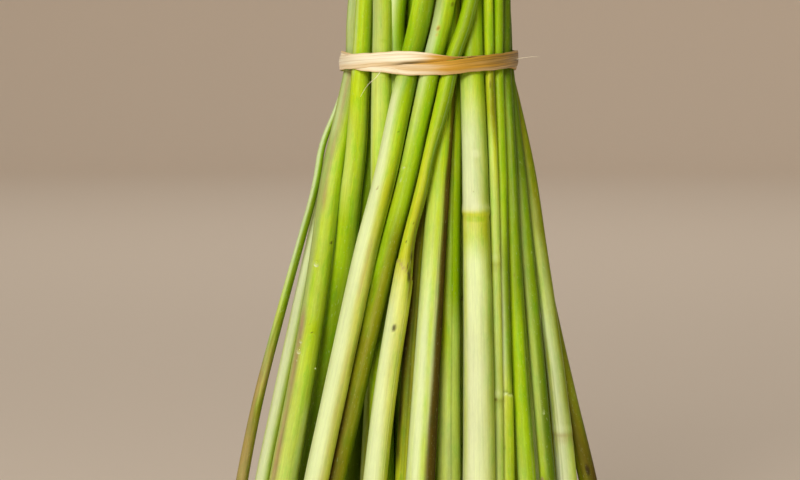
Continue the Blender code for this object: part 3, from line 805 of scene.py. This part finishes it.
class Finish(Nodes):
    """A material in the making."""

    def __init__(self, name, **shine):
        self.material = bpy.data.materials.new(name)
        self.material.use_nodes = True
        super().__init__(self.material.node_tree)
        self.shader = self.tree.nodes["Principled BSDF"]
        self.paint(**shine)

    def attribute(self, name, output):
        return self.add("ShaderNodeAttribute", {"attribute_name": name}, output=output)

    def noise(self, vector, pitch, detail=2.0, roughness=0.5):
        """Noise whose lumps have about the pitch given for each way, in millimetres."""
        scale = tuple(1.0 / (size * MM) for size in pitch)
        place = self.add("ShaderNodeVectorMath", {"operation": "MULTIPLY"}, {0: vector, 1: scale})
        sockets = {"Vector": place, "Scale": 1.0, "Detail": detail, "Roughness": roughness}
        return self.add("ShaderNodeTexNoise", {"noise_dimensions": "3D"}, sockets)

    def ramp(self, value, *stops):
        return self.add("ShaderNodeValToRGB", {"stops": stops}, {0: value})

    def scaled(self, colour, amount):
        return self.add("ShaderNodeVectorMath", {"operation": "SCALE"}, {0: colour, "Scale": amount})

    def blended(self, share, first, second, way="MIX"):
        settings = {"data_type": "RGBA", "blend_type": way}
        return self.add("ShaderNodeMix", settings, {0: share, 6: first, 7: second}, 2)

    def bump(self, height, distance, strength=1.0):
        """Raise the surface by a height that runs from 0 to 1."""
        sockets = {"Strength": strength, "Distance": distance, "Height": height}
        self.feed(self.shader.inputs["Normal"], self.add("ShaderNodeBump", sockets=sockets))

    def paint(self, **sockets):
        """Fill sockets of the shader, named in small letters."""
        for name, value in sockets.items():
            self.feed(self.shader.inputs[name.replace("_", " ").title().replace("Ior", "IOR")], value)
        return self.material


def stem_finish():
    """Waxy sheath: ribs along the stem, a patchy bloom, a soft gloss that goes where it is dry."""
    colours = bpy.context.scene.bunch_colours
    depth = bpy.context.scene.bunch_sizes.rib_depth
    shine = {"metallic": 0.0, "coat_weight": 0.04, "coat_roughness": 0.35, "specular_ior_level": 0.14}
    depths = (0.0012, 0.0016, 0.0003)
    wax = Finish("waxy_sheath", **shine, subsurface_weight=0.06, subsurface_radius=depths)
    tint, dry, grain = (wax.attribute(*part) for part in (("tint", 0), ("tint", 3), ("grain", 1)))
    ribs = wax.noise(grain, (0.42, 0.42, 15.0), 3.0, 0.7)
    bands = wax.noise(grain, (1.3, 1.3, 60.0), 2.0)
    clouds = wax.noise(grain, (3.5, 3.5, 16.0), 3.0, 0.6)
    cells = wax.noise(grain, (0.6, 0.6, 2.6), 2.0, 0.65)
    flecks = wax.noise(grain, (0.5, 0.5, 1.6), 2.0, 0.6)
    patches = wax.noise(grain, (2.4, 2.4, 9.0), 3.0, 0.65)
    vivid = 1.0 - wax.add("ShaderNodeSeparateColor", {}, {"Color": tint}, 2) * 2.2
    uneven = ribs * 0.48 + bands * 0.28 + cells * 0.22 + clouds * 0.22 - 0.60
    light = 1.0 + uneven * (0.60 + vivid * 0.45)
    colour = wax.scaled(tint, light)
    yellow = wax.ramp(patches, (0.50, 0.0), (0.64, 1.0)) * vivid
    colour = wax.blended(yellow * 0.5, colour, (1.0, 0.93, 0.55, 1.0), "MULTIPLY")
    green = wax.ramp(patches, (0.36, 1.0), (0.50, 0.0)) * vivid
    colour = wax.blended(green * 0.8, colour, (0.76, 0.95, 0.75, 1.0), "MULTIPLY")
    veil = wax.ramp(clouds * 0.6 + bands * 0.4, (0.50, 0.0), (0.68, 1.0))
    fresh = 1.0 - dry
    colour = wax.blended(veil * fresh * 0.05, colour, (*colours.mist, 1.0))
    marks = wax.ramp(flecks, (0.63, 0.0), (0.72, 1.0)) * vivid
    colour = wax.blended(marks * 0.22, colour, (*colours.mist, 1.0))
    wax.bump(ribs * 0.5 + bands * 0.3 + cells * 0.2, depth, 0.9)
    return wax.paint(base_color=colour, roughness=0.36 + bands * 0.16 + dry * 0.24)


def raffia_finish():
    """Dry palm fibre: fine threads along the strip, some pale and some amber; dark lines and painted shade
    where it is brown.
    """
    colours = bpy.context.scene.bunch_colours
    shine = {"metallic": 0.0, "specular_ior_level": 0.35, "sheen_weight": 0.15}
    depths = (0.001, 0.0008, 0.0004)
    fibre = Finish("raffia_fibre", **shine, subsurface_weight=0.05, subsurface_radius=depths)
    tint, brown, grain = (fibre.attribute(*part) for part in (("tint", 0), ("tint", 3), ("grain", 1)))
    threads = fibre.noise(grain, (0.36, 0.36, 26.0), 3.0, 0.65)
    folds = fibre.noise(grain, (1.1, 1.1, 40.0), 2.0)
    light = 0.45 + threads * 0.66 + folds * 0.44
    colour = fibre.scaled(tint, light)
    golden = fibre.ramp(threads * 0.6 + folds * 0.4, (0.36, 1.0), (0.50, 0.0))
    # Where the strip is brown it turns more amber and darker in lines: its own dark fibres, and painted shade
    colour = fibre.blended(golden * (0.30 + brown * 0.5), colour, (*colours.amber, 1.0))
    lines = fibre.noise(grain, (0.30, 0.30, 18.0), 2.0, 0.6)
    dark = fibre.ramp(lines * 0.7 + folds * 0.3, (0.42, 1.0), (0.62, 0.45))
    colour = fibre.blended(dark * brown, colour, (*colours.umber, 1.0))
    fibre.bump(threads * 0.6 + folds * 0.4, 0.00022, 1.0)
    return fibre.paint(base_color=colour, roughness=0.5 + threads * 0.2)


def water_finish():
    """Clear water: a tint at its rim, painted light and a faint glow below, a clear middle over the wax."""
    # The weak emission makes the painted light of the tint glow
    shine = {"roughness": 0.05, "metallic": 0.0, "specular_ior_level": 1.0, "emission_strength": 0.3}
    water = Finish("water", **shine, coat_weight=1.0, coat_roughness=0.03)
    spot = water.add("ShaderNodeTexCoord", output=3)
    water.bump(water.noise(spot, (2.0, 2.0, 2.0), 1.0), 0.00002, 0.3)
    glow = water.attribute("tint", 0)
    return water.paint(base_color=glow, emission_color=glow, alpha=water.attribute("tint", 3))


# ------------------------------ The raffia strip

# The strip's two turns from the knot round to it again: angle round the waist (0 is the front, 90 the
# right), height, share of the strip's width, layer (0 lies on the stems, 1 on the other turn), twist
# about its own line, how amber it is, and how brown: its own dark fibres together with painted shade,
# which is deepest on the right, away from the key light
Wind = namedtuple("Wind", "angle height width layer twist amber brown")
FIRST_TURN = (
    Wind(-176, 253.6, 0.80, 1.0, 0, 0.3, 0.2), Wind(-140, 253.6, 0.95, 1.0, 0, 0.1, 0.1),
    Wind(-105, 254.2, 1.00, 1.0, 0, 0.1, 0.1), Wind(-78, 254.7, 1.00, 1.0, 0, 0.05, 0.0),
    Wind(-58, 255.2, 0.98, 1.0, 0, 0.0, 0.0), Wind(-36, 255.9, 0.93, 1.1, 0, 0.0, 0.0),
    Wind(-14, 256.4, 0.84, 1.3, 4, 0.0, 0.0), Wind(-4, 256.4, 0.72, 1.4, 14, 0.35, 0.0),
    Wind(6, 256.2, 0.54, 1.4, 32, 1.0, 0.1), Wind(16, 256.2, 0.38, 1.3, 58, 1.1, 0.25),
    Wind(25, 256.5, 0.26, 1.0, 88, 1.0, 0.5), Wind(34, 256.6, 0.30, 0.4, 120, 1.0, 0.5),
    Wind(46, 256.0, 0.55, 0.0, 155, 0.9, 0.5), Wind(62, 255.4, 0.85, 0.0, 176, 0.7, 0.5),
    Wind(95, 254.6, 1.00, 0.0, 180, 0.3, 0.3), Wind(140, 253.6, 0.95, 0.0, 180, 0.1, 0.1),
    Wind(180, 254.4, 0.90, 0.0, 180, 0.1, 0.1),
)
SECOND_TURN = (
    Wind(222, 255.8, 0.95, 0.0, 180, 0.1, 0.1), Wind(262, 256.5, 1.00, 0.0, 180, 0.1, 0.1),
    Wind(284, 256.1, 1.00, 0.0, 180, 0.1, 0.0), Wind(302, 254.6, 1.00, 0.0, 180, 0.1, 0.0),
    Wind(328, 253.2, 0.96, 0.0, 180, 0.30, 0.0), Wind(346, 252.2, 0.90, 0.0, 180, 0.45, 0.05),
    Wind(360, 252.2, 0.90, 0.0, 180, 0.60, 0.15), Wind(376, 252.6, 0.92, 0.1, 179, 1.05, 0.30),
    Wind(389, 253.5, 0.98, 0.6, 177, 1.10, 0.45), Wind(400, 254.2, 1.02, 1.0, 176, 1.0, 0.6),
    Wind(415, 255.0, 1.08, 1.0, 176, 0.95, 0.8), Wind(440, 256.3, 1.10, 1.0, 178, 0.7, 0.95),
    Wind(470, 256.8, 1.05, 1.0, 180, 0.4, 0.4), Wind(505, 256.6, 0.95, 1.0, 180, 0.1, 0.1),
    Wind(536, 255.6, 0.80, 1.0, 180, 0.2, 0.2),
)


def waist(angles):
    """Middle of the tie and the distance of its inner wall from there at each angle, in millimetres."""
    corners = np.unique(np.round(read_corners(TIE), 3), axis=0)
    rim = corners[corners[:, 2] > corners[:, 2].max() - 0.01][:, :2]
    middle = (rim.min(0) + rim.max(0)) / 2.0
    spokes = rim - middle
    turn = np.arctan2(spokes[:, 0], -spokes[:, 1])
    order = np.argsort(turn)
    reach = np.linalg.norm(spokes, axis=1)[order]
    turn = turn[order]
    outer = np.array([reach[np.abs((turn - at + math.pi) % math.tau - math.pi) < 0.10].max() for at in turn])
    inner = reach < outer - 0.9
    wall = np.interp(np.radians(angles), turn[inner], reach[inner], period=math.tau)
    return middle, wall


def build_strip(colours):
    """The raffia strip, laid in two turns round the waist."""
    sizes = bpy.context.scene.bunch_sizes
    width, thickness = sizes.strip_width / MM, sizes.strip_thickness / MM
    winds = FIRST_TURN + SECOND_TURN
    spots = np.array([wind.angle for wind in winds], float)
    angles = np.arange(spots[0], spots[-1], 1.0)
    line = flowing(angles, spots, [wind[1:] for wind in winds])
    height, share, layer, twist, amber, brown = (part[:, None] for part in line.T)
    share = np.clip(share, 0.2, None)
    ring = np.arange(-180.0, 180.0, 1.0)
    middle, wall = waist(ring)
    soft = np.convolve(np.concatenate([wall[-4:], wall, wall[:4]]), np.ones(9) / 9.0, "valid")
    reach = np.interp(wrapped(angles), ring, soft, period=360.0)[:, None] + (0.1 + 1.1 * layer) * thickness

    # Section of the strip: a thin lens with folds along it, in shares of half its width and thickness
    around = np.linspace(0.0, math.tau, 30, endpoint=False)
    across = np.sign(np.cos(around)) * np.abs(np.cos(around)) ** 0.75
    up = np.sign(np.sin(around)) * np.abs(np.sin(around)) ** 0.5
    chance = random.Random(STRIP_SEED)
    angle = angles[:, None]
    folds = sum(
        np.sin(across * (5.0 + 3.2 * part) + angle / (24.0 - 4.0 * part) + chance.uniform(0, 6))
        * (0.20 / (1 + part))
        for part in range(3)
    )
    ragged = 1.0 + 0.03 * np.sin(angle / 5.3) + 0.02 * np.sin(angle / 2.1 + 1.0)
    half = (0.5 * width * share * ragged) * across
    crown = 0.10 * (1.0 - across**2) * width * share * 0.5
    rise = (0.5 * thickness * (1.0 + folds * np.sign(up))) * up + crown
    spin = np.radians(twist)
    mirrored = np.where(np.cos(spin) < 0.0, -1.0, 1.0)
    outward = rise * np.abs(np.cos(spin)) + 0.55 * half * np.sin(spin)
    upward = half * np.cos(spin) * mirrored + rise * np.sin(spin) * 0.9
    turn = np.radians(angle)
    spokes = reach + outward
    rows = points(middle[0] + spokes * np.sin(turn), middle[1] - spokes * np.cos(turn), height + upward)
    corners, faces = capped_grid(rows[:, ::-1])

    over = across[None, ::-1]
    first = angle < 180.0
    gold = amber + 0.22 * np.sin(over * 6.0 + angle / 40.0) + np.where(first, -0.25, 0.3) * over
    paint = mixed(colours["straw"], colours["amber"], np.clip(gold, 0.0, 1.0))
    paint = mixed(paint, colours["amber"], 0.5 * np.abs(over) ** 5)
    # Painted shadow along the first turn's lower edge, where it lies over the second turn
    overlap_shadow = bell((angle + 14.0) / 15.0) * step_up((-over - 0.52) / 0.25)
    paint = mixed(paint, colours["umber"], np.where(first, 0.95 * overlap_shadow, 0.0))
    # How brown each corner is: dark fibres and painted shade, a little more towards one edge on the second
    # turn
    paint[..., 3] = np.clip(brown + np.where(first, 0.0, 0.2 * over * brown), 0.0, 1.0)
    along = np.cumsum(np.gradient(np.radians(angles)) * reach[:, 0])
    grain = points(half.mean(0)[None, ::-1], up[None, ::-1], along[:, None])
    paint = np.concatenate([paint.reshape(-1, 4), paint[0, :1], paint[-1, :1]])
    grain = np.concatenate([grain.reshape(-1, 3), grain[0, :1], grain[-1, :1]])
    return add_mesh("raffia_strip", corners, faces, paint, grain, sharp=math.radians(60.0))


def tube(line, radius, sides, flatten=1.0):
    """Rows of corners round a line of points, each with its own radius."""
    line = np.asarray(line, float)
    heading = np.gradient(line, axis=0)
    heading /= np.linalg.norm(heading, axis=1)[:, None]
    side = np.cross(heading, [0.0, 0.0, 1.0])
    upright = np.linalg.norm(side, axis=1) < 0.15
    side[upright] = np.cross(heading[upright], [1.0, 0.0, 0.0])
    side /= np.linalg.norm(side, axis=1)[:, None]
    for spot in range(1, len(line)):
        carried = side[spot - 1] - heading[spot] * (side[spot - 1] @ heading[spot])
        side[spot] = carried / np.linalg.norm(carried)
    other = np.cross(heading, side)
    around = np.linspace(0.0, math.tau, sides, endpoint=False)[:, None]
    ring = side[:, None] * np.cos(around) + other[:, None] * (np.sin(around) * flatten)
    return line[:, None] + ring * np.broadcast_to(radius, len(line))[:, None, None]


# The knot: its height, how far it lies in from the tie's back, and how thick and how flat its cord is
KNOT_HEIGHT, KNOT_DEPTH, KNOT_THICKNESS, KNOT_FLATNESS = 255.0, 3.1, 1.45, 0.8


def build_knot(colours):
    """The knot at the back: the strip's ends in an overhand knot, drawn tight."""
    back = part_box(TIE)[1].y / MM
    middle, _ = waist(np.zeros(1))
    turn = np.linspace(0.0, math.tau, 120, endpoint=False)
    loop = points(
        middle[0] + 1.95 * (np.sin(turn) + 2.0 * np.sin(2.0 * turn)) * 1.05,
        back - KNOT_DEPTH - 1.15 * np.sin(3.0 * turn),
        KNOT_HEIGHT + 1.25 * (np.cos(turn) - 2.0 * np.cos(2.0 * turn)) * 0.95,
    )
    loop = np.concatenate([loop[-2:], loop, loop[:2]])
    rows = tube(loop, KNOT_THICKNESS, 18, KNOT_FLATNESS)[2:-2]
    count, sides = rows.shape[:2]
    around = np.linspace(0.0, math.tau, sides, endpoint=False)
    ridges = 1.0 + 0.07 * np.sin(around * 5.0)
    centre = rows.mean(1, keepdims=True)
    rows = centre + (rows - centre) * ridges[:, None]
    gold = 0.35 + 0.35 * np.sin(np.linspace(0, 9.0, count))[:, None] * np.ones(sides)
    paint = mixed(colours["straw"], colours["amber"], np.clip(gold, 0, 1))
    paint[..., 3] = 0.25
    along = np.linspace(0.0, 60.0, count)[:, None]
    grain = points(1.5 * np.cos(around), 1.5 * np.sin(around), along).reshape(-1, 3)
    faces = grid_faces(count, sides, closed_rows=True)
    return add_mesh("raffia_knot", rows.reshape(-1, 3), faces, paint.reshape(-1, 4), grain)


# Stray fibres of the strip: thickness at the root, then points that lie sideways and in depth from the
# middle of the waist and at their height above the floor
STRAYS = (
    (0.20, ((34.6, -9.0, 256.0), (37.4, -10.2, 256.6), (40.2, -10.9, 256.9), (43.0, -11.4, 256.9))),
    (0.22, ((-18.6, -28.4, 251.4), (-20.8, -29.6, 248.6), (-24.0, -30.4, 245.6), (-26.6, -30.8, 241.4))),
    (0.34, ((-19.2, -28.4, 250.9), (-17.0, -29.8, 252.3), (-14.4, -30.2, 252.5), (-12.2, -29.6, 251.6))),
    (0.20, ((12.0, 30.5, 258.8), (9.0, 32.6, 260.2), (5.6, 33.4, 260.6), (2.6, 33.0, 259.8))),
)


def build_strays(colours):
    """Loose hairs of the raffia strip."""
    middle, _ = waist(np.zeros(1))
    corners, faces = [], []
    for thick, stray in STRAYS:
        line = flowing(np.linspace(0.0, len(stray) - 1.0, 26), range(len(stray)), stray)
        line[:, :2] += middle
        taper = np.linspace(0.5, 0.2, len(line)) * thick
        add_body(corners, faces, tube(line, taper, 6)[:, ::-1])
    corners = np.concatenate(corners)
    paint = np.tile(colours["straw"], (len(corners), 1))
    paint[:, 3] = 0.0
    return add_mesh("raffia_strays", corners, faces, paint, corners)


# ------------------------------ Water drops

DROP_RINGS, DROP_SIDES = 10, 20
# Drops on the stems: stalk, height, angle, width and length
Drop = namedtuple("Drop", "stalk height angle width length")
DROPS = (
    Drop(3, 175.8, -17, 2.3, 2.9), Drop(3, 141.7, -38, 2.4, 3.0), Drop(3, 145.4, -36, 1.5, 1.9),
    Drop(3, 138.0, -40, 0.8, 1.0), Drop(3, 134.7, 62, 0.9, 1.0), Drop(7, 214.4, -34, 1.0, 1.1),
    Drop(12, 205.0, -10, 0.7, 0.8),
)


def build_drops(colours):
    """Beads of water, each flat where it clings and rounder towards its lower end."""
    corners, faces, paint = [], [], []
    for drop in DROPS:
        ring_height, ring_middle, ring_radius = read_stem(STALKS[drop.stalk - 1])
        at = np.array([drop.height])
        middle = flowing(at, ring_height, ring_middle)[0]
        radius = float(flowing(at, ring_height, ring_radius)[0])
        turn = math.radians(drop.angle)
        out = np.array([math.sin(turn), -math.cos(turn), 0.0])
        side = np.array([math.cos(turn), math.sin(turn), 0.0])
        rows = np.empty((DROP_RINGS, DROP_SIDES, 3))
        tints = np.empty((DROP_RINGS, DROP_SIDES, 4))
        for ring, step in np.ndindex(DROP_RINGS, DROP_SIDES):
            slope = (ring + 1) / (DROP_RINGS + 1.0) * math.pi
            rise, wide = math.cos(slope), math.sin(slope)
            around = math.tau * step / DROP_SIDES
            heavy = 1.0 - 0.22 * math.sin(around)
            across = 0.5 * drop.width * wide * math.cos(around) * heavy
            along = 0.5 * drop.length * wide * math.sin(around)
            lift = 0.30 * drop.width * rise * (1.0 if rise > 0 else 0.35)
            sag = math.sqrt(max(radius**2 - across**2, 0.0)) - radius
            foot = np.array([*middle, drop.height + along])
            rows[ring, step] = foot + out * (radius + 0.02 + lift + sag) + side * across
            # Painted light: ivory and more opaque towards the drop's lower side, lemon elsewhere, and more
            # opaque at the rim
            lit = min(max(0.55 - 0.65 * math.sin(around + 0.4) * wide, 0.0), 1.0)
            tints[ring, step] = colours["lemon"] * (1.0 - lit) + colours["ivory"] * lit
            tints[ring, step, 3] = 0.12 + 0.16 * wide**3 + 0.62 * lit**2
        add_body(corners, faces, rows[:, ::-1])
        paint.append(with_ends(tints[:, ::-1]))
    return add_mesh("water_drops", np.concatenate(corners), faces, np.concatenate(paint))


# ------------------------------ Operators


def dress(piece, material):
    piece.data.materials.clear()
    piece.data.materials.append(material)


class LEMONGRASS_OT_stalks(Operator):
    """Build every stalk over its CAD stem"""

    bl_idname = "lemongrass.stalks"
    bl_label = "Stalks"

    def execute(self, context):
        colours = palette()
        wax = stem_finish()
        for index, node in enumerate(STALKS):
            dress(build_stem(index, node, colours), wax)
        return {"FINISHED"}


class LEMONGRASS_OT_tie(Operator):
    """Wind the raffia strip round the waist and knot it at the back"""

    bl_idname = "lemongrass.tie"
    bl_label = "Raffia tie"

    def execute(self, context):
        colours = palette()
        fibre = raffia_finish()
        strip = build_strip(colours)
        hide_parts(TIE)
        for piece in (strip, build_knot(colours), build_strays(colours)):
            dress(piece, fibre)
            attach(piece, "root")
        return {"FINISHED"}


class LEMONGRASS_OT_drops(Operator):
    """Put drops of water on the stalks"""

    bl_idname = "lemongrass.drops"
    bl_label = "Water drops"

    def execute(self, context):
        drops = build_drops(palette())
        dress(drops, water_finish())
        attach(drops, "root")
        return {"FINISHED"}


def add_light(name, power, size, place, target):
    lamp = bpy.data.lights.new(name, "AREA")
    lamp.energy = power
    lamp.shape = "DISK"
    lamp.size = size
    light = bpy.data.objects.new(name, lamp)
    light.location = place
    light.rotation_euler = (target - place).to_track_quat("-Z", "Y").to_euler()
    bpy.context.scene.collection.objects.link(light)


def build_floor(colour):
    """A round floor whose rim curves up into the backdrop."""
    inner = FLOOR_REACH - FLOOR_CURVE
    profile = [(1.5, 0.0), (3.5, 0.0), (inner, 0.0)]
    for part in range(1, 13):
        bend = part / 12.0 * math.pi / 2.0
        profile.append((inner + FLOOR_CURVE * math.sin(bend), FLOOR_CURVE - FLOOR_CURVE * math.cos(bend)))
    profile.append((FLOOR_REACH, WALL_HEIGHT))
    turn = np.radians(np.arange(0.0, 360.0, 5.0))
    rows = np.array([[(r * math.cos(a), r * math.sin(a), z) for a in turn] for r, z in profile])
    corners = np.concatenate([rows.reshape(-1, 3), [[0.0, 0.0, 0.0]]]) / MM
    centre = len(corners) - 1
    faces = grid_faces(len(rows), len(turn))
    faces += [[centre, spot, (spot + 1) % len(turn)] for spot in range(len(turn))]
    floor = add_mesh("floor", corners, faces)
    dress(floor, Finish("floor", roughness=0.9, metallic=0.0).paint(base_color=(*colour, 1.0)))


class LEMONGRASS_OT_studio(Operator):
    """Lay the floor, light the bunch and aim the camera"""

    bl_idname = "lemongrass.studio"
    bl_label = "Studio"

    def execute(self, context):
        scene = context.scene
        studio = scene.bunch_studio
        build_floor(studio.floor)

        world = bpy.data.worlds.new("studio")
        world.use_nodes = True
        sky = world.node_tree.nodes["Background"]
        sky.inputs["Color"].default_value = (1.0, 0.98, 0.93, 1.0)
        nodes = Nodes(world.node_tree)
        heading = nodes.add("ShaderNodeTexCoord")
        rightward = nodes.add("ShaderNodeSeparateXYZ", sockets={0: heading})
        middle_sky = (studio.sky_left + studio.sky_right) / 2.0
        nodes.feed(sky.inputs["Strength"], rightward * (studio.sky_right - middle_sky) + middle_sky)
        scene.world = world

        middle, _ = waist(np.zeros(1))
        target = Vector((middle[0] * MM - AIM_LEFT, middle[1] * MM, AIM_HEIGHT))
        add_light("key", studio.key_power, KEY_SIZE, target + KEY_PLACE, target)
        add_light("backdrop", studio.backdrop_power, BACKDROP_SIZE, BACKDROP_PLACE, BACKDROP_AIM)
        view = bpy.data.cameras.new("camera")
        view.lens = studio.lens
        view.sensor_width = 36.0
        camera = bpy.data.objects.new("camera", view)
        backward = Vector((0.0, -math.cos(studio.tilt), math.sin(studio.tilt)))
        camera.location = target + studio.distance * backward
        camera.rotation_euler = (math.pi / 2.0 - studio.tilt, 0.0, 0.0)
        scene.collection.objects.link(camera)
        scene.camera = camera
        scene.view_settings.view_transform = "Standard"
        return {"FINISHED"}


class LEMONGRASS_PT_bunch(Panel):
    """Everything the bunch is made of"""

    bl_idname = "LEMONGRASS_PT_bunch"
    bl_label = "Lemongrass Bunch"
    bl_space_type = "VIEW_3D"
    bl_region_type = "UI"
    bl_category = "Lemongrass"

    def draw(self, context):
        for group in (context.scene.bunch_colours, context.scene.bunch_sizes, context.scene.bunch_studio):
            box = self.layout.box()
            for name in type(group).__annotations__:
                box.prop(group, name)
        for operator in (LEMONGRASS_OT_stalks, LEMONGRASS_OT_tie, LEMONGRASS_OT_drops, LEMONGRASS_OT_studio):
            self.layout.operator(operator.bl_idname)


CLASSES = (
    BunchColours,
    BunchSizes,
    StudioSettings,
    LEMONGRASS_OT_stalks,
    LEMONGRASS_OT_tie,
    LEMONGRASS_OT_drops,
    LEMONGRASS_OT_studio,
    LEMONGRASS_PT_bunch,
)


def register():
    for made in CLASSES:
        bpy.utils.register_class(made)
    bpy.types.Scene.bunch_colours = PointerProperty(type=BunchColours)
    bpy.types.Scene.bunch_sizes = PointerProperty(type=BunchSizes)
    bpy.types.Scene.bunch_studio = PointerProperty(type=StudioSettings)


def unregister():
    del bpy.types.Scene.bunch_studio
    del bpy.types.Scene.bunch_sizes
    del bpy.types.Scene.bunch_colours
    for made in reversed(CLASSES):
        bpy.utils.unregister_class(made)


def main():
    register()
    bpy.ops.lemongrass.stalks()
    bpy.ops.lemongrass.tie()
    bpy.ops.lemongrass.drops()
    bpy.ops.lemongrass.studio()


if __name__ == "__main__":
    main()
